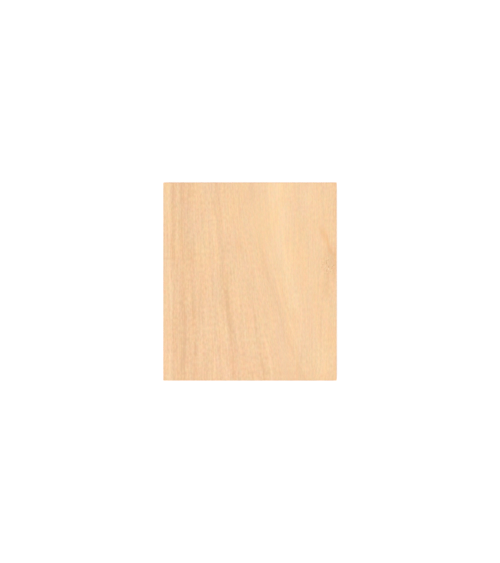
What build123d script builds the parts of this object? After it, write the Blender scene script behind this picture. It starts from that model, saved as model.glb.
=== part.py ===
from build123d import *
import os

# A square-cut sheet of veneer-core plywood, lying flat with its good face up, in millimetres.
# X runs across the grain of the faces and Y along it; the origin is at the middle of the underside.
sheet_width = 610.0  # across the face grain
sheet_length = 697.0  # along the face grain
sheet_thickness = 18.0
ply_count = 7
face_veneer = 0.6  # thickness of each of the two outer plies
grain_shrinkage = 0.1  # how far a ply has drawn back, across its own grain, from a sawn edge
arris_break = 0.3  # the sanding of the sharp edge round each face
corner_radius = 0.5  # the wear of the four upright corners

# The core plies share what the two face veneers leave of the thickness.
core_ply = (sheet_thickness - 2 * face_veneer) / (ply_count - 2)
ply_thicknesses = [face_veneer] + [core_ply] * (ply_count - 2) + [face_veneer]

# The plies are glued and pressed into one board, so they fuse into one solid.
# The saw cut them flush, and each has since shrunk across its own grain, so the edges step: end
# grain stands proud, and the plies that stand proud on the two ends lie back on the two sides.
with BuildPart() as plywood_sheet:
    ply_floor = 0.0
    for ply, ply_thickness in enumerate(ply_thicknesses):
        # The lay-up is balanced: counted from the nearer face, every second ply lies crosswise.
        plies_to_nearer_face = min(ply, ply_count - 1 - ply)
        if plies_to_nearer_face % 2 == 0:
            ply_width = sheet_width - 2 * grain_shrinkage
            ply_length = sheet_length
        else:
            ply_width = sheet_width
            ply_length = sheet_length - 2 * grain_shrinkage
        with BuildSketch(Plane.XY.offset(ply_floor)):
            RectangleRounded(ply_width, ply_length, corner_radius)
        extrude(amount=ply_thickness)
        ply_floor += ply_thickness
    edges_by_height = plywood_sheet.edges().group_by(Axis.Z)
    chamfer(edges_by_height[0] + edges_by_height[-1], length=arris_break)

plywood_sheet.part.label = "plywood_sheet"
os.makedirs("parts", exist_ok=True)
export_step(plywood_sheet.part, "parts/plywood_sheet.step")
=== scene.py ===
import bpy
import numpy as np
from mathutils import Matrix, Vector


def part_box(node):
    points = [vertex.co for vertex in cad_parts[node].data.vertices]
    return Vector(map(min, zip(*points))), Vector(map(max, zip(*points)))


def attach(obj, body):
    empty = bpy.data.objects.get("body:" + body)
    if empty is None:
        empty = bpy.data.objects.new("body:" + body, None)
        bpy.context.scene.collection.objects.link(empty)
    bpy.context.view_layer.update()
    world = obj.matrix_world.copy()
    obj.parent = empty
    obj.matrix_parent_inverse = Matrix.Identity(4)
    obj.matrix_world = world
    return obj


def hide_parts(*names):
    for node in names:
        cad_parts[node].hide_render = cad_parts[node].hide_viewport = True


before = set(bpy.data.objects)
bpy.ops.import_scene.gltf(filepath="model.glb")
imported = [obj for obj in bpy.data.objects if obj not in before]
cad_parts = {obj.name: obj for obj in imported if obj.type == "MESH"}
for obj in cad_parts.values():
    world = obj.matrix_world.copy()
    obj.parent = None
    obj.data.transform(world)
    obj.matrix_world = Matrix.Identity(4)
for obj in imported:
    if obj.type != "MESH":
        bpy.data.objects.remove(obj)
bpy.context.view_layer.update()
sheetLow, sheetHigh = (np.array(corner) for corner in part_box("plywood_sheet"))
mm = 0.001  # in metres
sheetSize = (sheetHigh - sheetLow) / mm  # across the grain, along it, thickness
halfSize = sheetSize[:2] / 2
thickness = sheetSize[2]
print("frame loaded, the sheet is", sheetSize.round(2), "mm")

photo = dict(  # in pixels: the sheet lies square on in the middle of the photograph
    pictureHeight=563,
    sheetLength=198.13,
)

studio = dict(
    lens=50,
    sensor=36,  # mm, along the picture's height
    floorSize=12,
    floorDrop=0.0001,  # keeps the floor clear of the sheet's underside
    floorGrey=0.6,
    floorRoughness=0.9,
    floorGlow=0.5,  # what the camera sees on top of the floor's own light, so that it comes out white
    farGlow=0.95,  # the same where the lamps' light has faded
    farFrom=(0.8, 3.0),  # metres from the sheet's middle: where the far glow starts and is full
    worldLight=0.42,  # what the pale room gives the sheet
    worldSeen=1.05,  # how white the camera sees the room
    lamps={  # place in metres, width in metres, watts
        "keyLamp": ((-2.6, -3.3, 3.6), 2.6, 178),
        "fillLamp": ((3.4, 0.6, 3.8), 3.2, 122),
        "backLamp": ((-0.8, 4.0, 3.2), 2.6, 80),
    },
    lightOnFace=1.21,  # how bright a white card would be on the sheet
    sheenOnFace=0.035,  # what the sheet mirrors of the pale room
)

nodeCanvas = dict(rowLength=10, stepRight=200, stepDown=300)  # where new nodes go in their tree


# Adds a node. An input is given a value, or the socket that feeds it.
def put(tree, kind, inputs=None, **settings):
    node = tree.nodes.new(kind)
    row, column = divmod(len(tree.nodes), nodeCanvas["rowLength"])
    node.location = (column * nodeCanvas["stepRight"], -row * nodeCanvas["stepDown"])
    for name, value in settings.items():
        setattr(node, name, value)
    for name, value in (inputs or {}).items():
        if isinstance(value, bpy.types.NodeSocket):
            tree.links.new(value, node.inputs[name])
        else:
            node.inputs[name].default_value = value
    return node


def calc(tree, operation, *values):
    return put(tree, "ShaderNodeMath", dict(enumerate(values)), operation=operation).outputs[0]


def vectorCalc(tree, operation, *values):
    return put(tree, "ShaderNodeVectorMath", dict(enumerate(values)), operation=operation).outputs[0]


def parts(tree, vector):
    return put(tree, "ShaderNodeSeparateXYZ", {0: vector}).outputs


def joined(tree, inputs):
    return put(tree, "ShaderNodeCombineXYZ", inputs).outputs[0]


def lengthOf(tree, vector):
    return put(tree, "ShaderNodeVectorMath", {0: vector}, operation="LENGTH").outputs["Value"]


# A number that goes from the first to the second as the share goes from 0 to 1.
def between(tree, share, first, second):
    return put(tree, "ShaderNodeMix", {0: share, 2: first, 3: second}).outputs[0]


# A smooth step: one level where the value is at its start, and another where it is at its end.
def fade(tree, value, start, end, fromLevel=0.0, toLevel=1.0):
    inputs = {0: value, 1: start, 2: end, 3: fromLevel, 4: toLevel}
    return put(tree, "ShaderNodeMapRange", inputs, interpolation_type="SMOOTHSTEP").outputs[0]


def blend(tree, factor, first, second, way="MIX"):
    inputs = {0: factor, 6: first, 7: second}
    return put(tree, "ShaderNodeMix", inputs, data_type="RGBA", blend_type=way).outputs[2]


# A shader node group with named sockets: numbers and vectors in, numbers out.
def newGroup(name, inputs, outputs):
    group = bpy.data.node_groups.new(name, "ShaderNodeTree")
    for socket, value in inputs.items():
        kind = "NodeSocketVector" if isinstance(value, tuple) else "NodeSocketFloat"
        group.interface.new_socket(socket, in_out="INPUT", socket_type=kind).default_value = value
    for socket in outputs:
        group.interface.new_socket(socket, in_out="OUTPUT", socket_type="NodeSocketFloat")
    return group, put(group, "NodeGroupInput").outputs


def useGroup(tree, group, inputs):
    return put(tree, "ShaderNodeGroup", inputs, node_tree=group).outputs[0]


def newMaterial(name):
    material = bpy.data.materials.new(name)
    material.use_nodes = True
    tree = material.node_tree
    return material, tree, tree.nodes["Principled BSDF"]


# A colour as the photograph shows it, 0 to 255, as the reflectance that gives it under the studio's
# light. The numbers undo the sRGB curve that pictures are stored with.
def paint(seen):
    share = np.array(seen) / 255
    light = np.where(share > 0.04045, ((share + 0.055) / 1.055) ** 2.4, share / 12.92)
    return (*np.clip((light - studio["sheenOnFace"]) / studio["lightOnFace"], 0, 1), 1.0)


# Camera straight above the sheet, at the distance where the sheet is as long as in the photograph.
def makeCamera():
    camera = bpy.data.objects.new("camera", bpy.data.cameras.new("camera"))
    camera.data.lens = studio["lens"]
    camera.data.sensor_width = studio["sensor"]
    pictureHeight = sheetSize[1] * mm * photo["pictureHeight"] / photo["sheetLength"]
    camera.location = (0, 0, sheetHigh[2] + pictureHeight * studio["lens"] / studio["sensor"])
    bpy.context.scene.collection.objects.link(camera)
    bpy.context.scene.camera = camera
    bpy.context.scene.view_settings.view_transform = "Standard"


def makeLamps():
    for name, (place, width, watts) in studio["lamps"].items():
        lamp = bpy.data.objects.new(name, bpy.data.lights.new(name, "AREA"))
        lamp.data.size = width
        lamp.data.energy = watts
        lamp.location = place
        lamp.rotation_euler = Vector(place).to_track_quat("Z", "Y").to_euler()
        bpy.context.scene.collection.objects.link(lamp)


# The glow of the floor and the white of the background are for the camera alone and light nothing.
def makeFloorAndBackground():
    reach = studio["floorSize"] / 2
    low = -studio["floorDrop"]
    corners = [(-reach, -reach, low), (reach, -reach, low), (reach, reach, low), (-reach, reach, low)]
    mesh = bpy.data.meshes.new("floor")
    mesh.from_pydata(corners, [], [(0, 1, 2, 3)])
    floor = bpy.data.objects.new("floor", mesh)
    bpy.context.scene.collection.objects.link(floor)
    material, tree, shader = newMaterial("paleFloor")
    seen = put(tree, "ShaderNodeLightPath").outputs["Is Camera Ray"]
    shader.inputs["Base Color"].default_value = (studio["floorGrey"],) * 3 + (1,)
    shader.inputs["Roughness"].default_value = studio["floorRoughness"]
    shader.inputs["Specular IOR Level"].default_value = 0.0
    shader.inputs["Emission Color"].default_value = (1, 1, 1, 1)
    place = put(tree, "ShaderNodeTexCoord").outputs["Object"]
    glow = fade(tree, lengthOf(tree, place), *studio["farFrom"], studio["floorGlow"], studio["farGlow"])
    tree.links.new(calc(tree, "MULTIPLY", seen, glow), shader.inputs["Emission Strength"])
    mesh.materials.append(material)

    world = bpy.data.worlds.new("paleRoom")
    world.use_nodes = True
    bpy.context.scene.world = world
    tree = world.node_tree
    background = tree.nodes["Background"]
    background.inputs["Color"].default_value = (1, 1, 1, 1)
    seen = put(tree, "ShaderNodeLightPath").outputs["Is Camera Ray"]
    brightness = fade(tree, seen, 0.0, 1.0, studio["worldLight"], studio["worldSeen"])
    tree.links.new(brightness, background.inputs["Strength"])


makeCamera()
makeLamps()
makeFloorAndBackground()
print("studio ready")

# A grain line is named by where it starts at the far end, in mm across from the sheet's middle line.
# By the near end it has gone right by its drift; a bend of 1 leans all the way, more turns off late.
grainFlow = dict(
    rings=dict(  # the growth rings: cathedral lines that lean towards the near right corner
        starts=(-305, -239, -117, -51, 17, 41, 150, 230, 305),
        drifts=(2, 7, 65, 100, 182, 185, 98, 32, 3),
        bends=(1.2, 1.2, 1.3, 1.0, 1.7, 1.8, 1.8, 1.8, 1.8),
    ),
    fibres=dict(  # the fibres, which run straighter than the rings on the right
        starts=(-305, -239, -158, -81, -20, 30, 90, 160, 305),
        drifts=(2, 10, 38, 66, 96, 92, 46, 12, 2),
        bends=(1.0, 1.0, 1.0, 1.0, 1.1, 1.3, 1.3, 1.0, 1.0),
    ),
    margin=60,  # mm: a line may start this far past either side of the sheet
    smoothing=30,  # mm over which the drifts and bends are evened out
    halvings=24,
)


# The grain line through a point. A line that starts at a place has gone right, a share t of the way
# down the sheet, by its drift times t to the power of its bend, and halving a bracket finds the start
# whose line passes through the point.
def grainLineThrough(across, fromFarEnd, flow):
    margin = grainFlow["margin"]
    fine = np.arange(-halfSize[0] - margin, halfSize[0] + margin + 1)
    kernel = np.hanning(grainFlow["smoothing"] + 2)
    kernel /= kernel.sum()
    reach = len(kernel) // 2
    padded = np.arange(fine[0] - reach, fine[-1] + reach + 1)
    drifts, bends = (
        np.convolve(np.interp(padded, flow["starts"], flow[name]), kernel, "same")[reach:-reach]
        for name in ("drifts", "bends")
    )
    share = np.clip(fromFarEnd / sheetSize[1], 1e-6, 1)  # kept above 0 for the power
    low = np.full(np.shape(across), fine[0])
    high = np.full(np.shape(across), fine[-1])
    for _ in range(grainFlow["halvings"]):
        middle = (low + high) / 2
        reached = middle + np.interp(middle, fine, drifts) * share ** np.interp(middle, fine, bends)
        low = np.where(reached < across, middle, low)
        high = np.where(reached < across, high, middle)
    return (low + high) / 2


sheetShape = dict(  # mm
    plyCount=7,
    faceVeneer=0.6,
    plyTones=(0.1, -0.25, 0.2, -0.15, 0.3, -0.3, 0.15),  # from the underside up, each from another log
    shrinkage=0.1,  # side grain lies this far behind end grain on the sawn edges
    arris=0.3,
    corner=0.5,
    arcSteps=4,  # to the quarter circle, at the corners and the arrises
    rowsPerPly=5,
    rimStep=2.0,  # from point to point along the outline
    faceCell=6.0,  # the squares of a face
    glueWidth=0.12,
    glueDepth=0.05,  # of the groove along each line
    glueWaves=(9, 17, 26, 41),  # how often the glue lines rise and fall on the way round the sheet
    glueWaveHeight=(0.02, 0.07, 0.07, 0.07, 0.07, 0.02),  # the face veneers are the evenest
    endGrainRoughness=(0.025, 1),  # depth, and how many points of the outline a streak covers
    sideGrainRoughness=(0.012, 9),
    sawPitch=7.3,
    sawDepth=0.01,  # half of the ripple's height
    sawLean=0.4,  # how far the saw's ripple leans along the edge on its way up
    ringRelief=0.012,  # the face's softer early wood, sanded lower
    ringPitch=11.0,
    sharpAngle=28,  # degrees between faces from which their edge is drawn sharp
    seed=11,
)
corePly = (thickness - 2 * sheetShape["faceVeneer"]) / (sheetShape["plyCount"] - 2)
glueLines = sheetShape["faceVeneer"] + corePly * np.arange(sheetShape["plyCount"] - 1)


# The outline walked anticlockwise: each side is evenly spaced points, each corner a quarter circle.
# Also each point's outward direction, and the side it is on with its place along that side.
def sheetOutline():
    shape = sheetShape
    points, outward, sides, places = [], [], [], []
    for side, angle in enumerate(np.radians((-90, 0, 90, 180))):
        out = np.array((np.cos(angle), np.sin(angle)))
        along = np.array((-out[1], out[0]))
        toEdge = abs(out @ halfSize)
        run = abs(along @ halfSize) - shape["corner"]
        steps = int(round(2 * run / shape["rimStep"]))
        straight = np.linspace(-run, run, steps + 1)[:, None]
        points.append(out * toEdge + along * straight)
        outward.append(np.tile(out, (steps + 1, 1)))
        turn = angle + np.linspace(0, np.pi / 2, shape["arcSteps"] + 1)[1:-1, None]
        arc = np.hstack((np.cos(turn), np.sin(turn)))
        points.append(out * (toEdge - shape["corner"]) + along * run + shape["corner"] * arc)
        outward.append(arc)
        places.append(np.append(straight, np.full(len(arc), run)))
        sides.append(np.full(steps + 1 + len(arc), side))
    return np.vstack(points), np.vstack(outward), np.concatenate(sides), np.concatenate(places)


# The rows of the edge from the bottom up: height, how far the arris cuts in, ply, and whether it is a
# glue line. Each arris is a quarter circle; each ply has evenly spaced rows.
def edgeRows():
    shape = sheetShape
    turn = np.linspace(0, np.pi / 2, shape["arcSteps"] + 1)
    arrisHeight = shape["arris"] * (1 - np.cos(turn))
    arrisInset = shape["arris"] * (1 - np.sin(turn))
    halfGlue = shape["glueWidth"] / 2
    heights = [arrisHeight, [glueLines[0] - halfGlue]]
    plies = [np.zeros(len(turn) + 1)]
    glued = [np.zeros(len(turn) + 1)]
    tops = np.append(glueLines[1:] - halfGlue, glueLines[-1] + halfGlue)
    for ply, (line, top) in enumerate(zip(glueLines, tops), start=1):
        rows = shape["rowsPerPly"] if ply < shape["plyCount"] - 1 else 1
        heights.append(np.append(line, np.linspace(line + halfGlue, top, rows)))
        plies.append(np.full(rows + 1, ply))
        glued.append(np.append(1, np.zeros(rows)))
    heights.append(thickness - arrisHeight[::-1])
    plies.append(np.full(len(turn), shape["plyCount"] - 1))
    glued.append(np.zeros(len(turn)))
    heights = np.concatenate(heights)
    insets = np.zeros(len(heights))
    insets[: len(turn)] = arrisInset
    insets[-len(turn):] = arrisInset[::-1]
    return heights, insets, np.concatenate(plies), np.concatenate(glued)


# Random roughness smoothed along one axis by a running mean, scaled back to a spread of one.
def streakedNoise(dice, size, length):
    noise = dice.normal(size=size)
    total = sum(np.roll(noise, shift, axis=1) for shift in range(length))
    return total / np.sqrt(length)


# How far each glue line rises or falls round the sheet, a sum of sines with whole numbers of waves, and
# what each row between two lines takes of it, in proportion to its nearness.
def glueWaves(dice, heights, count):
    shape = sheetShape
    wayRound = np.arange(count) / count
    waves = np.zeros((len(glueLines), count))
    for times in shape["glueWaves"]:
        waves += np.sin(2 * np.pi * (times * wayRound + dice.random((len(glueLines), 1))))
    waves *= np.array(shape["glueWaveHeight"])[:, None]
    knots = np.concatenate(([0], glueLines, [thickness]))
    nearness = [np.interp(heights, knots, unit) for unit in np.eye(len(knots))[1:-1]]
    return np.transpose(nearness) @ waves


# The rim: the outline carried up the rows. Each ply's outline is shrunk across its own grain, and the
# surface lies behind it by the arris, the glue groove, the saw's ripple, a sine along the edge, and the
# roughness of the grain. Also where each point is in the lay-up: its height if the plies were flat, its
# ply, and 1 for end grain or 0 for side grain.
def rimPoints(outline, outward, sides, places):
    shape = sheetShape
    heights, insets, plies, glued = edgeRows()
    crosswise = np.minimum(plies, shape["plyCount"] - 1 - plies) % 2
    drawnBack = shape["shrinkage"] * np.stack((1 - crosswise, crosswise), axis=1)
    shrink = 1 - drawnBack[:, None, :] / halfSize
    onEnd = sides % 2 == 0
    endGrain = np.abs(crosswise[:, None] - onEnd)
    size = endGrain.shape
    dice = np.random.default_rng(shape["seed"])
    depth, length = shape["endGrainRoughness"]
    rough = depth * endGrain * np.abs(streakedNoise(dice, size, length))
    depth, length = shape["sideGrainRoughness"]
    rough += depth * (1 - endGrain) * np.abs(streakedNoise(dice, size, length))
    ripple = np.sin(2 * np.pi * (places + shape["sawLean"] * heights[:, None]) / shape["sawPitch"])
    behind = insets[:, None] + glued[:, None] * shape["glueDepth"]
    behind = behind + (insets[:, None] == 0) * (rough + shape["sawDepth"] * (1 + ripple))
    level = outline * shrink - outward * behind[:, :, None]
    layUp = np.dstack(np.broadcast_arrays(heights[:, None], plies[:, None], endGrain))
    return np.dstack((level, heights[:, None] + glueWaves(dice, heights, size[1]))), layUp


# A face: a grid of points inside a band as wide as one cell, with the sanded relief of its rings,
# a sine of the distance across the ring lines.
def facePoints(height, facing):
    shape = sheetShape
    inner = halfSize - shape["faceCell"]
    counts = np.round(2 * inner / shape["faceCell"]).astype(int)
    across = np.linspace(-inner[0], inner[0], counts[0] + 1)
    along = np.linspace(-inner[1], inner[1], counts[1] + 1)
    x, y = np.meshgrid(across, along, indexing="ij")
    rings = grainLineThrough(x, halfSize[1] - y, grainFlow["rings"]) / shape["ringPitch"]
    low = shape["ringRelief"] * (0.5 + 0.5 * np.sin(2 * np.pi * rings))
    return np.dstack((x, y, height - facing * low))


# Quads between neighbouring rows and columns of a grid of vertex numbers.
def gridQuads(numbers):
    quads = np.stack((numbers[:-1, :-1], numbers[1:, :-1], numbers[1:, 1:], numbers[:-1, 1:]), axis=-1)
    return quads.reshape(-1, 4)


# Triangles between a fine loop and the coarser border of a grid, both anticlockwise. Each fine point
# belongs to the nearest border point, so the band is fans, with one more triangle where the owner
# changes.
def bandTriangles(loop, grid, sides, places):
    border = np.concatenate((grid[:-1, 0], grid[-1, :-1], grid[:0:-1, -1], grid[0, :0:-1]))
    counts = np.array(grid.shape)[[0, 1, 0, 1]] - 1
    starts = np.concatenate(([0], np.cumsum(counts)))
    inner = (halfSize - sheetShape["faceCell"])[[0, 1, 0, 1]]
    step = np.round((places + inner[sides]) / (2 * inner[sides]) * counts[sides])
    owner = (starts[sides] + np.clip(step, 0, counts[sides]).astype(int)) % len(border)
    nextLoop, nextOwner = np.roll(loop, -1), np.roll(owner, -1)
    fans = np.stack((loop, nextLoop, border[owner]), axis=1)
    turns = np.stack((nextLoop, border[nextOwner], border[owner]), axis=1)[nextOwner != owner]
    return np.vstack((fans, turns))


bakeMap = dict(  # where the baked picture holds the faces and edge strips, in shares of its side
    goodFace=(0.005, 0.005, 0.62),  # left, bottom, width
    backFace=(0.635, 0.005, 0.36),
    strips=(0.005, 0.725, 0.99),
    stripHeight=0.06,
    stripPitch=0.068,  # from one strip to the next
    cornerRun=1,  # mm that a strip has left for the corner at its end
)


# The map for baking: each face laid flat, and the edge unrolled into one tall strip for each side.
def bakePlaces(points, corners, slots, outline, sides, rowCount):
    look = bakeMap
    places = points[corners][:, :2] + halfSize
    for slot, face in ((0, "goodFace"), (1, "backFace")):
        left, bottom, width = look[face]
        places[slots == slot] = places[slots == slot] * width / sheetSize[0] + (left, bottom)
    steps = np.linalg.norm(np.roll(outline, -1, axis=0) - outline, axis=1)
    gone = np.cumsum(steps) - steps
    left, bottom, width = look["strips"]
    scale = width / (sheetSize[1] + look["cornerRun"])
    start = left + scale * (gone - gone[np.searchsorted(sides, sides)])
    end = start + scale * steps
    level = bottom + sides * look["stripPitch"]
    row = np.linspace(0, look["stripHeight"], rowCount)
    across = np.stack((end, end, start, start), axis=-1)
    up = np.stack((row[:-1], row[1:], row[1:], row[:-1]), axis=-1)[:, None, :] + level[None, :, None]
    across = np.broadcast_to(across[None], up.shape)
    places[slots == 2] = np.stack((across, up), axis=-1).reshape(-1, 2)
    return places


# Puts a vector on each point of the mesh under a name, for the materials to read.
def carry(mesh, name, vectors):
    mesh.attributes.new(name, "FLOAT_VECTOR", "POINT").data.foreach_set("vector", vectors.ravel())


# One closed shell: the rim, and a face joined on above and below it. Material 0 is the good face's,
# 1 the back's and 2 the sawn edges'. Each point carries its grain line with its distance from the far
# end, for the rings and for the fibres, and its place in the lay-up.
def makeSheet():
    outline, outward, sides, places = sheetOutline()
    rim, layUp = rimPoints(outline, outward, sides, places)
    rimNumbers = np.arange(rim.shape[0] * rim.shape[1]).reshape(rim.shape[:2])
    closed = np.hstack((rimNumbers, rimNumbers[:, :1]))
    points = [rim.reshape(-1, 3)]
    faces = gridQuads(closed)[:, ::-1].tolist()
    slots = [2] * len(faces)
    count = rimNumbers.size
    bothFaces = ((thickness, 1, -1), (0.0, -1, 0))  # height, which way up, and the rim's row there
    for slot, (height, facing, row) in enumerate(bothFaces):
        face = facePoints(height, facing)
        numbers = count + np.arange(face.shape[0] * face.shape[1]).reshape(face.shape[:2])
        band = bandTriangles(rimNumbers[row], numbers, sides, places)
        made = gridQuads(numbers)[:, ::facing].tolist() + band[:, ::facing].tolist()
        points.append(face.reshape(-1, 3))
        faces += made
        slots += [slot] * len(made)
        count += numbers.size
    points = np.vstack(points)

    mesh = bpy.data.meshes.new("plywood_sheet_finished")
    mesh.from_pydata(points * mm, [], faces)
    mesh.polygons.foreach_set("material_index", slots)
    fromFarEnd = halfSize[1] - points[:, 1]
    for name, flow in (("ringFlow", "rings"), ("fibreFlow", "fibres")):
        line = grainLineThrough(points[:, 0], fromFarEnd, grainFlow[flow])
        carry(mesh, name, np.stack((line, fromFarEnd, 0 * line), axis=1))
    inLayUp = np.zeros((len(points), 3))
    inLayUp[: rimNumbers.size] = layUp.reshape(-1, 3)
    carry(mesh, "layUp", inLayUp)
    plyTone = np.take(sheetShape["plyTones"], inLayUp[:, 1].astype(int))
    mesh.attributes.new("plyTone", "FLOAT", "POINT").data.foreach_set("value", plyTone)

    corners = np.empty(len(mesh.loops), dtype=np.int32)
    mesh.loops.foreach_get("vertex_index", corners)
    cornerSlots = np.repeat(slots, [len(face) for face in faces])
    bakeAt = bakePlaces(points, corners, cornerSlots, outline, sides, len(rim))
    mesh.uv_layers.new(name="OFBake").uv.foreach_set("vector", bakeAt.ravel())
    mesh.shade_smooth()
    mesh.set_sharp_from_angle(angle=np.radians(sheetShape["sharpAngle"]))
    sheet = bpy.data.objects.new("plywood_sheet_finished", mesh)
    bpy.context.scene.collection.objects.link(sheet)
    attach(sheet, "root")
    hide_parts("plywood_sheet")
    return sheet


sheet = makeSheet()
triangles = len(sheet.data.loops) - 2 * len(sheet.data.polygons)
print("sheet made with", triangles, "triangles")


patterns = dict(  # what the shared node groups hold
    noiseSpread=4.0,  # takes the noise node's 0 to 1 to about -1 to 1
    streakPatches=((12, 80, 1), 0.5, 0.95),  # cell, swing and middle of what breaks up a grain line
    wearPatches=((14, 14, 14), 0.25, 0.75),  # the same for a worn edge
    vesselDash=(0.1, 0.42),  # in cells from its centre: where it is full, and where it is gone
    fullTint=1.5,  # the noise that brings out one tint or the other in full
)


# Noise in cells of a given size, in mm, stretched along the grain: about -1 to 1 round nought. Each
# line of cells starts its stagger, a share of a cell, after the line beside it, so that long cells
# don't end level.
def makeFibreNoise():
    inputs = {"Vector": (0, 0, 0), "Cell": (1, 1, 1), "Detail": 2.0, "Stagger": 0.0}
    group, given = newGroup("fibreNoise", inputs, ["Tone"])
    scaled = vectorCalc(group, "DIVIDE", given["Vector"], given["Cell"])
    slide = calc(group, "MULTIPLY", parts(group, scaled)["X"], given["Stagger"])
    placed = vectorCalc(group, "ADD", scaled, joined(group, {"Y": slide}))
    detailed = {"Vector": placed, "Scale": 1.0, "Detail": given["Detail"]}
    noise = put(group, "ShaderNodeTexNoise", detailed)
    spread = patterns["noiseSpread"]
    tone = calc(group, "MULTIPLY_ADD", noise.outputs[0], spread, -spread / 2)
    put(group, "NodeGroupOutput", {"Tone": tone})
    return group


# Noise that breaks up a line or an edge into patches.
def patches(group, place, look):
    cell, swing, middle = look
    noise = useGroup(group, fibreNoise, {"Vector": place, "Cell": cell})
    return calc(group, "MULTIPLY_ADD", noise, swing, middle)


# A line along the grain: full at its place and gone at its width to either side, fading in at its start
# and out at its end, and broken up by noise.
def makeGrainStreak():
    inputs = {"Grain": (0, 0, 0), "Place": 0.0, "Width": 10.0, "Start": 0.0, "End": 700.0, "Fade": 90.0}
    group, given = newGroup("grainStreak", inputs, ["Mask"])
    grain = parts(group, given["Grain"])
    offLine = calc(group, "ABSOLUTE", calc(group, "SUBTRACT", grain["X"], given["Place"]))
    line = fade(group, calc(group, "DIVIDE", offLine, given["Width"]), 0.0, 1.0, 1.0, 0.0)
    begun = calc(group, "DIVIDE", calc(group, "SUBTRACT", grain["Y"], given["Start"]), given["Fade"])
    left = calc(group, "DIVIDE", calc(group, "SUBTRACT", given["End"], grain["Y"]), given["Fade"])
    length = calc(group, "MULTIPLY", fade(group, begun, 0.0, 1.0), fade(group, left, 0.0, 1.0))
    broken = patches(group, given["Grain"], patterns["streakPatches"])
    mask = calc(group, "MULTIPLY", calc(group, "MULTIPLY", line, length), broken)
    put(group, "NodeGroupOutput", {"Mask": mask})
    return group


# A soft oval patch, full at its centre and gone at its radii. Its slant is how far it goes across for
# each mm along.
def makeGrainSpot():
    inputs = {"Vector": (0, 0, 0), "Centre": (0, 0, 0), "Radii": (10, 10, 1), "Slant": 0.0}
    group, given = newGroup("grainSpot", inputs, ["Mask"])
    away = vectorCalc(group, "SUBTRACT", given["Vector"], given["Centre"])
    slide = calc(group, "MULTIPLY", parts(group, away)["Y"], given["Slant"])
    upright = vectorCalc(group, "SUBTRACT", away, joined(group, {"X": slide}))
    flat = vectorCalc(group, "MULTIPLY", upright, (1, 1, 0))
    distance = lengthOf(group, vectorCalc(group, "DIVIDE", flat, given["Radii"]))
    put(group, "NodeGroupOutput", {"Mask": fade(group, distance, 0.0, 1.0, 1.0, 0.0)})
    return group


# Cut-open vessels: one short dash in a share of the cells.
def makeVesselDashes():
    inputs = {"Vector": (0, 0, 0), "Cell": (1, 1, 1), "Share": 0.5}
    group, given = newGroup("vesselDashes", inputs, ["Mask"])
    scaled = vectorCalc(group, "DIVIDE", given["Vector"], given["Cell"])
    cells = put(group, "ShaderNodeTexVoronoi", {"Vector": scaled, "Scale": 1.0})
    dash = fade(group, cells.outputs["Distance"], *patterns["vesselDash"], 1.0, 0.0)
    dice = parts(group, cells.outputs["Color"])["X"]
    chosen = calc(group, "LESS_THAN", dice, given["Share"])
    put(group, "NodeGroupOutput", {"Mask": calc(group, "MULTIPLY", dash, chosen)})
    return group


# Handling wear: full at the sheet's outline, gone at a reach from it, broken up by noise.
def makeEdgeWear():
    group, given = newGroup("edgeWear", {"Vector": (0, 0, 0), "Reach": 5.0}, ["Mask"])
    toMiddle = parts(group, vectorCalc(group, "ABSOLUTE", given["Vector"]))
    toSide = calc(group, "SUBTRACT", float(halfSize[0]), toMiddle["X"])
    toEnd = calc(group, "SUBTRACT", float(halfSize[1]), toMiddle["Y"])
    toOutline = calc(group, "DIVIDE", calc(group, "MINIMUM", toSide, toEnd), given["Reach"])
    broken = patches(group, given["Vector"], patterns["wearPatches"])
    mask = calc(group, "MULTIPLY", fade(group, toOutline, 0.0, 1.0, 1.0, 0.0), broken)
    put(group, "NodeGroupOutput", {"Mask": mask})
    return group


fibreNoise = makeFibreNoise()
grainStreak = makeGrainStreak()
grainSpot = makeGrainSpot()
vesselDashes = makeVesselDashes()
edgeWear = makeEdgeWear()


def objectMillimetres(tree):
    place = put(tree, "ShaderNodeTexCoord").outputs["Object"]
    return vectorCalc(tree, "MULTIPLY", place, (1 / mm,) * 3)


# What the sheet's points carry under a name.
def carried(tree, name):
    return put(tree, "ShaderNodeAttribute", attribute_name=name).outputs["Vector"]


# Moves a pattern's coordinates across the grain by noise, so that its lines waver.
def wavering(tree, grain, look):
    shift = 0.0
    for cell, swing in look:
        noise = useGroup(tree, fibreNoise, {"Vector": grain, "Cell": cell})
        shift = calc(tree, "MULTIPLY_ADD", noise, swing, shift)
    return vectorCalc(tree, "ADD", grain, joined(tree, {"X": shift}))


# A face's grain: its noises added up, each with its own strength on the left and on the right.
def faceGrain(tree, fibres, look):
    toRight = fade(tree, parts(tree, fibres)["X"], *look["leftToRight"])
    grain = 0.0
    for cell, detail, stagger, left, right in look["noises"].values():
        inputs = {"Vector": fibres, "Cell": cell, "Detail": detail, "Stagger": stagger}
        noise = useGroup(tree, fibreNoise, inputs)
        grain = calc(tree, "MULTIPLY_ADD", noise, between(tree, toRight, left, right), grain)
    return grain


def addStreaks(tree, tone, grain, streaks):
    for place, width, start, end, strength in streaks.values():
        reach = {"Place": place, "Width": width, "Start": start, "End": end}
        mask = useGroup(tree, grainStreak, {"Grain": grain, **reach})
        tone = calc(tree, "MULTIPLY_ADD", mask, strength, tone)
    return tone


def addSpots(tree, tone, place, spots):
    for centre, radii, slant, strength in spots.values():
        shape = {"Centre": (*centre, 0), "Radii": (*radii, 1), "Slant": slant}
        mask = useGroup(tree, grainSpot, {"Vector": place, **shape})
        tone = calc(tree, "MULTIPLY_ADD", mask, strength, tone)
    return tone


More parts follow.
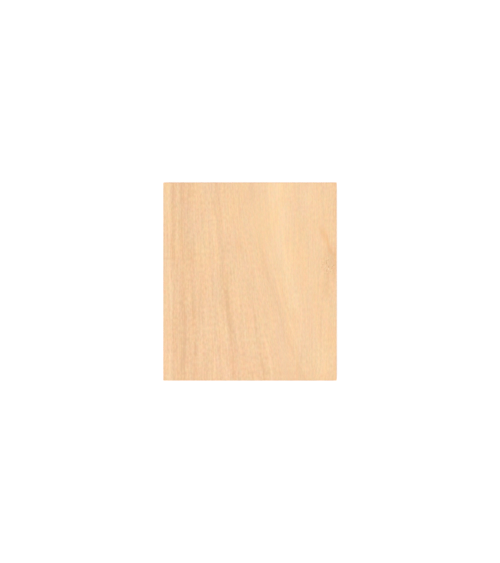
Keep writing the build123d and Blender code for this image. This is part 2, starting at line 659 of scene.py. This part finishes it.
# Darkens a face by its cut-open vessels, and by the handling of its outline.
def addPoresAndWear(tree, tone, fibres, place, look):
    cell, share, strength = look["pores"]
    pores = useGroup(tree, vesselDashes, {"Vector": fibres, "Cell": cell, "Share": share})
    tone = calc(tree, "MULTIPLY_ADD", pores, strength, tone)
    reach, strength = look["wear"]
    wear = useGroup(tree, edgeWear, {"Vector": place, "Reach": reach})
    return calc(tree, "MULTIPLY_ADD", wear, strength, tone), pores, wear


# The wood's colour for a tone: deep at -1, middle at 0 and pale at 1.
def woodColour(tree, tone, look):
    ramp = put(tree, "ShaderNodeValToRGB", {0: calc(tree, "MULTIPLY_ADD", tone, 0.5, 0.5)})
    stops = ramp.color_ramp.elements
    stops[0].color = paint(look["deep"])
    stops[1].color = paint(look["pale"])
    stops.new(0.5).color = paint(look["middle"])
    return ramp.outputs[0]


# Slow changes of hue: the colour is multiplied by one tint or the other, as noise decides.
def addHues(tree, colour, grain, hues):
    for cells, first, second in hues.values():
        swing = 0.0
        for cell, strength in cells:
            noise = useGroup(tree, fibreNoise, {"Vector": grain, "Cell": cell})
            swing = calc(tree, "MULTIPLY_ADD", noise, strength, swing)
        toSecond = fade(tree, swing, -patterns["fullTint"], patterns["fullTint"])
        tint = blend(tree, toSecond, (*first, 1), (*second, 1))
        colour = blend(tree, 1.0, colour, tint, "MULTIPLY")
    return colour


# Gives the shader a colour and a roughness, and a bump from a height.
def finishMaterial(tree, shader, colour, rough, height, look):
    strength, distance = look["bump"]
    bump = put(tree, "ShaderNodeBump", {"Height": height, "Strength": strength, "Distance": distance})
    tree.links.new(colour, shader.inputs["Base Color"])
    tree.links.new(rough, shader.inputs["Roughness"])
    tree.links.new(bump.outputs[0], shader.inputs["Normal"])


# A face is rougher and higher where its grain is pale, and low where a vessel is cut open.
def finishFace(tree, shader, colour, grain, pores, look):
    middle, swing = look["roughness"]
    rough = calc(tree, "MULTIPLY_ADD", grain, swing, middle)
    grainHeight, poreHeight = look["relief"]
    height = calc(tree, "MULTIPLY_ADD", pores, poreHeight, calc(tree, "MULTIPLY", grain, grainHeight))
    finishMaterial(tree, shader, colour, rough, height, look)


goodFace = dict(
    deep=(232, 188, 147),
    middle=(244, 205, 163.5),
    pale=(253, 219, 177),
    straw=(249, 213, 163),
    rose=(240, 190, 154),
    amber=(241, 185, 130),
    ringWavers=(((60, 190, 1), 6.0), ((9, 40, 1), 1.2)),  # cell and swing in mm
    fibreWavers=(((45, 210, 1), 2.0), ((7, 26, 1), 0.9)),
    leftToRight=(-190.0, 20.0),  # mm across, from where the noises are the left's to where the right's
    noises={  # cell across and along the grain, detail, stagger, strength on the left and on the right
        "rings": ((11, 700, 1), 2, 0.0, 0.17, 0.05),
        "streaks": ((4, 130, 1), 2, 0.37, 0.47, 0.35),
        "flecks": ((4.6, 13, 1), 2, 0.0, 0.58, 0.5),
        "mottle": ((12, 26, 1), 1, 0.0, 0.12, 0.12),
        "clouds": ((60, 110, 1), 1, 0.0, 0.06, 0.07),
    },
    hues={  # cells with their strengths, and the tints to either side
        "cream to amber": (
            (((13, 150, 1), 0.7), ((8, 14, 1), 0.8), ((80, 170, 1), 0.8)),
            (0.955, 1.0, 1.05),
            (1.045, 1.0, 0.95),
        ),
        "rose to straw": (
            (((6, 9, 1), 1.5), ((20, 36, 1), 0.8), ((80, 140, 1), 0.7)),
            (1.017, 0.968, 1.025),
            (0.983, 1.032, 0.975),
        ),
    },
    streaks={  # ring line, half width, start and end in mm from the far end, strength
        "left side": (-236, 80, -900, 1600, -0.24),
        "left side, near end": (-250, 90, 150, 1600, -0.13),
        "pale left edge": (-292, 22, -900, 1600, 0.35),
        "pale top": (20, 130, -900, 300, 0.1),
        "warm line at the very edge": (-300, 7, -90, 790, -0.1),
        "thin brown line by the left edge": (-291, 5, 60, 420, -0.22),
        "pale line by the left edge": (-282, 7, -90, 790, 0.4),
        "dark side of that line": (-270, 13, -90, 330, -0.4),
        "dark side, fainter below": (-270, 9, 300, 790, -0.08),
        "pale line between the dark ones": (-254, 6, -90, 420, 0.4),
        "line that darkens below": (-238.5, 8.5, 350, 790, -0.58),
        "the same line above": (-242, 8, -90, 330, -0.4),
        "dark line beside it": (-234, 4, -90, 330, -0.3),
        "brown line": (-211, 8, 200, 350, -0.35),
        "brown line again": (-209, 8, 360, 660, -0.25),
        "left pale band": (-134, 13, 60, 790, 0.3),
        "long dark streak": (-117, 16, -90, 790, -0.26),
        "long dark streak, middle": (-113, 13, 290, 660, -0.3),
        "brown beside the long dark streak": (-128, 46, 280, 700, -0.28),
        "middle ring": (-51, 7, 360, 790, -0.35),
        "thin pale line near the end": (-37, 4.5, 480, 790, 0.45),
        "short pale line": (-29, 4, 250, 440, 0.35),
        "ring before the heart": (5, 12, -90, 120, -0.25),
        "brown before the heart": (10, 13, 150, 400, -0.42),
        "ring before the heart, lower half": (16, 7, 340, 790, -0.27),
        "pale ring round the heart": (40, 6, 180, 640, 0.28),
        "dark side of that ring": (29, 7, 260, 660, -0.1),
        "ring behind the pale one": (58, 7, 330, 700, -0.16),
        "outer ring, right of the heart": (92, 8, 420, 790, -0.2),
        # A broad change of tone: the face is paler towards the upper right and duller towards the left
        # and the near end.
        "paler upper right": (100, 78, -200, 500, 0.6),
        "paler upper right, its middle": (88, 30, -60, 330, 0.2),
        "pale right side": (220, 80, -900, 900, 0.08),
    },
    spots={  # centre across and along, radii, slant, strength
        "pale patch in the figure": ((254, 130), (12, 20), -0.35, 0.35),
        "brown patch": ((284, 74), (52, 84), 0.0, -0.7),
        "pale side of the dark line": ((287, 0), (10, 60), 0.0, 0.15),
        "dark end of the amber streak": ((280, 113), (12, 26), -0.32, -0.35),
        "brown below the patch": ((268, -22), (30, 70), 0.0, -0.45),
        "brown by the edge below it": ((292, 22), (26, 46), 0.0, -0.3),
        "dark line below the figure": ((273, 8), (6, 44), 0.0, -0.4),
        "dull above the figure": ((302, 262), (26, 120), 0.0, -0.3),
        "pale near right corner": ((235, -290), (110, 120), 0.0, 0.25),
        "pale far right corner": ((206, 296), (66, 110), 0.0, 0.25),
        "pale lower right": ((172, -176), (50, 92), 0.0, 0.28),
        "pale beside the long dark streak": ((-74, -212), (30, 66), -0.1, 0.24),
        "duller left edge": ((-276, -168), (50, 84), 0.0, -0.22),
        "duller far left": ((-222, 324), (50, 64), 0.0, -0.22),
        "duller left of the heart": ((-16, 290), (60, 84), 0.0, -0.18),
        "duller near left": ((-126, -234), (36, 64), 0.0, -0.2),
        "duller near middle": ((-25, -260), (42, 56), 0.0, -0.24),
        "duller near end": ((0, -353), (900, 84), 0.0, -0.22),
        "duller middle left": ((-172, 55), (36, 72), 0.0, -0.16),
        "duller left of the middle": ((-74, 26), (36, 50), 0.0, -0.17),
        "clearer far left": ((-123, 312), (36, 44), 0.0, 0.2),
        "dark start of the long streak": ((-117, 318), (10, 60), 0.0, -0.3),
        "short dark line near the right edge": ((249, -158), (5.5, 92), 0.0, -0.42),
        "short dark line at the near end": ((168, -306), (7, 44), 0.0, -0.4),
        "short dark line, lower right": ((121, -203), (6, 42), -0.15, -0.35),
        "short dark line, lower middle": ((19, -124), (6, 42), -0.2, -0.4),
    },
    strawSpots={
        "yellow heart": ((70, 190), (150, 270), -0.2, 0.35),
        "yellow right side": ((230, 40), (100, 420), 0.0, 0.25),
    },
    amberSpots={
        "amber patch in the figure": ((258, 166), (19, 46), -0.35, 0.5),
        "amber line in that patch": ((273, 144), (6, 40), -0.18, 0.5),
        "amber streak to the edge": ((280, 113), (13, 34), -0.32, 0.42),
        "amber edge": ((300, 90), (8, 60), 0.0, 0.35),
        "amber patch left of the heart": ((-40, 120), (30, 60), -0.1, 0.2),
    },
    roseSpots={
        "rosy patch": ((246, -16), (16, 12), 0.0, 0.4),
        "rosy spot on the left": ((-200, 72), (14, 10), 0.0, 0.4),
        "rosy spot at the top": ((-32, 253), (12, 10), 0.0, 0.4),
        "rosy spot in the middle": ((50, 46), (14, 12), 0.0, 0.3),
    },
    creamTint=(0.985, 1.0, 1.09),
    creamSpots={  # where the wood is a little less yellow
        "near left": ((-95, -220), (110, 260), 0.0, 0.5),
        "far left": ((-130, 330), (130, 110), 0.0, 0.4),
        "left side": ((-190, 30), (50, 60), 0.0, 0.5),
        "near right": ((115, -230), (60, 190), 0.0, 0.35),
        "right side": ((190, 130), (50, 60), 0.0, 0.5),
    },
    speckledPatch=((275, 56), (46, 44), 0.0, 1.0),
    specks={  # cell, share of the cells, colour, strength
        "dark specks": ((7, 6.5, 1), 0.7, (206, 157, 114), 1.2),
        "pale specks": ((6, 8, 1), 0.6, (254, 225, 190), 0.85),
    },
    pores=((1.1, 6, 1), 0.4, -0.1),  # cell, share of the cells, strength
    wear=(4.5, -0.35),  # reach, strength
    wornAmber=0.35,  # share of amber where it is worn
    roughness=(0.5, 0.05),  # middle, and swing with the grain
    relief=(0.4, -1.0),  # heights of the grain and of the pores
    bump=(0.15, 0.0001),  # strength, and metres for a height of 1
)


# The good face, after the photograph: straight rift grain on the left, rings that lean right towards
# the near end, paler in the upper right, and a small figure by the right edge.
def makeGoodFace():
    look = goodFace
    material, tree, shader = newMaterial("goodFaceVeneer")
    place = objectMillimetres(tree)
    rings = wavering(tree, carried(tree, "ringFlow"), look["ringWavers"])
    fibres = wavering(tree, carried(tree, "fibreFlow"), look["fibreWavers"])
    grain = faceGrain(tree, fibres, look)
    tone = addStreaks(tree, grain, rings, look["streaks"])
    tone = addSpots(tree, tone, place, look["spots"])
    tone, pores, wear = addPoresAndWear(tree, tone, fibres, place, look)
    colour = woodColour(tree, tone, look)
    worn = calc(tree, "MULTIPLY", wear, look["wornAmber"])
    for name, start in (("straw", 0.0), ("rose", 0.0), ("amber", worn)):
        spots = addSpots(tree, start, place, look[name + "Spots"])
        colour = blend(tree, spots, colour, paint(look[name]))
    cream = addSpots(tree, 0.0, place, look["creamSpots"])
    colour = blend(tree, cream, colour, (*look["creamTint"], 1), "MULTIPLY")
    speckled = addSpots(tree, 0.0, place, {"in the figure": look["speckledPatch"]})
    for cell, share, seen, strength in look["specks"].values():
        specks = useGroup(tree, vesselDashes, {"Vector": place, "Cell": cell, "Share": share})
        mask = calc(tree, "MULTIPLY", calc(tree, "MULTIPLY", specks, speckled), strength)
        colour = blend(tree, mask, colour, paint(seen))
    colour = addHues(tree, colour, fibres, look["hues"])
    finishFace(tree, shader, colour, grain, pores, look)
    return material


backFace = dict(
    deep=(222, 181, 136),
    middle=(240, 200, 156),
    pale=(250, 216, 173),
    wavers=(((60, 260, 1), 4.0), ((8, 30, 1), 0.9)),
    leftToRight=(-150.0, 150.0),
    noises={
        "rings": ((17, 1400, 1), 2, 0.0, 0.2, 0.3),
        "streaks": ((5, 140, 1), 2, 0.37, 0.25, 0.2),
        "flecks": ((5, 14, 1), 2, 0.0, 0.3, 0.26),
        "clouds": ((80, 160, 1), 1, 0.0, 0.15, 0.15),
    },
    hues={
        "amber to cream": (
            (((7, 60, 1), 0.9), ((7, 11, 1), 0.7)),
            (0.934, 0.967, 1.0),
            (1.0, 0.967, 0.93),
        ),
    },
    streaks={
        "dark line": (-168, 9, -90, 790, -0.4),
        "pale band": (-60, 40, -200, 790, 0.25),
        "brown band": (88, 26, -90, 560, -0.3),
        "second dark line": (205, 7, 200, 790, -0.4),
    },
    pores=((1.1, 6, 1), 0.45, -0.15),
    wear=(6, -0.4),
    roughness=(0.55, 0.05),
    relief=(0.5, -1.0),
    bump=(0.2, 0.0001),
)


# The back, which the photograph doesn't show: the same wood, straight and calm, a little darker.
def makeBackFace():
    look = backFace
    material, tree, shader = newMaterial("backFaceVeneer")
    place = objectMillimetres(tree)
    fromFarEnd = vectorCalc(tree, "MULTIPLY_ADD", place, (1, -1, 0), (0, float(halfSize[1]), 0))
    fibres = wavering(tree, fromFarEnd, look["wavers"])
    grain = faceGrain(tree, fibres, look)
    tone = addStreaks(tree, grain, fibres, look["streaks"])
    tone, pores, _ = addPoresAndWear(tree, tone, fibres, place, look)
    colour = addHues(tree, woodColour(tree, tone, look), fibres, look["hues"])
    finishFace(tree, shader, colour, grain, pores, look)
    return material


sawnEdge = dict(
    side=dict(deep=(216, 172, 120), middle=(240, 202, 152), pale=(252, 222, 178)),
    end=dict(deep=(142, 98, 60), middle=(190, 142, 95), pale=(220, 176, 126)),
    glue=(104, 64, 36),
    glueWidth=(0.05, 0.2),  # mm from the line: full, gone
    grain={  # cell in a lengthwise ply, cell in a crosswise ply, strength
        "fine": ((1.0, 45, 0.6), (45, 1.0, 0.6), 0.42),
        "broad": ((7, 160, 4), (160, 7, 4), 0.3),
    },
    grainDetail=3.0,
    plyOffset=(310, 170, 40),  # each ply takes its grain from another place of the noise
    sawMarks=((2.2, 2.2, 40), 1.0, 0.12),  # cell, detail, strength
    roughness=(0.66, 0.12),  # of side grain, and what end grain adds
    relief=(0.5, 0.5),  # heights of the saw marks and of the grain
    bump=(0.3, 0.0002),
)


# The sawn edges: each ply is solid wood whose fibres run its own way, so the same noise shows as
# streaks on its side grain and as specks on its end grain, with a dark glue line between plies.
def makeSawnEdge():
    look = sawnEdge
    material, tree, shader = newMaterial("sawnPlies")
    place = objectMillimetres(tree)
    layUp = parts(tree, carried(tree, "layUp"))
    level, ply, endGrain = layUp["X"], layUp["Y"], layUp["Z"]
    topPly = float(sheetShape["plyCount"] - 1)
    fromFace = calc(tree, "MINIMUM", ply, calc(tree, "SUBTRACT", topPly, ply))
    crosswise = calc(tree, "PINGPONG", fromFace, 1.0)  # 1 in every second ply from the nearer face
    index = joined(tree, {"X": ply, "Y": ply, "Z": ply})
    ownPlace = vectorCalc(tree, "MULTIPLY_ADD", index, look["plyOffset"], place)
    tone = put(tree, "ShaderNodeAttribute", attribute_name="plyTone").outputs["Fac"]
    solid = {"Vector": ownPlace, "Detail": look["grainDetail"]}
    for lengthCell, crossCell, strength in look["grain"].values():
        lengthNoise = useGroup(tree, fibreNoise, {**solid, "Cell": lengthCell})
        crossNoise = useGroup(tree, fibreNoise, {**solid, "Cell": crossCell})
        noise = between(tree, crosswise, lengthNoise, crossNoise)
        tone = calc(tree, "MULTIPLY_ADD", noise, strength, tone)
    cell, detail, strength = look["sawMarks"]
    saw = useGroup(tree, fibreNoise, {"Vector": place, "Cell": cell, "Detail": detail})
    tone = calc(tree, "MULTIPLY_ADD", saw, strength, tone)
    sideWood, endWood = (woodColour(tree, tone, look[grain]) for grain in ("side", "end"))
    wood = blend(tree, endGrain, sideWood, endWood)
    firstLine = sheetShape["faceVeneer"]  # the others follow a core ply apart
    inPlies = calc(tree, "DIVIDE", calc(tree, "SUBTRACT", level, firstLine), float(corePly))
    toGlue = calc(tree, "MULTIPLY", calc(tree, "PINGPONG", inPlies, 0.5), float(corePly))
    glue = fade(tree, toGlue, *look["glueWidth"], 1.0, 0.0)
    colour = blend(tree, glue, wood, paint(look["glue"]))
    onSideGrain, onEndGrain = look["roughness"]
    rough = calc(tree, "MULTIPLY_ADD", endGrain, onEndGrain, onSideGrain)
    sawHeight, grainHeight = look["relief"]
    height = calc(tree, "MULTIPLY_ADD", saw, sawHeight, calc(tree, "MULTIPLY", tone, grainHeight))
    finishMaterial(tree, shader, colour, rough, height, look)
    return material


for makeMaterial in (makeGoodFace, makeBackFace, makeSawnEdge):
    sheet.data.materials.append(makeMaterial())
print("materials made")
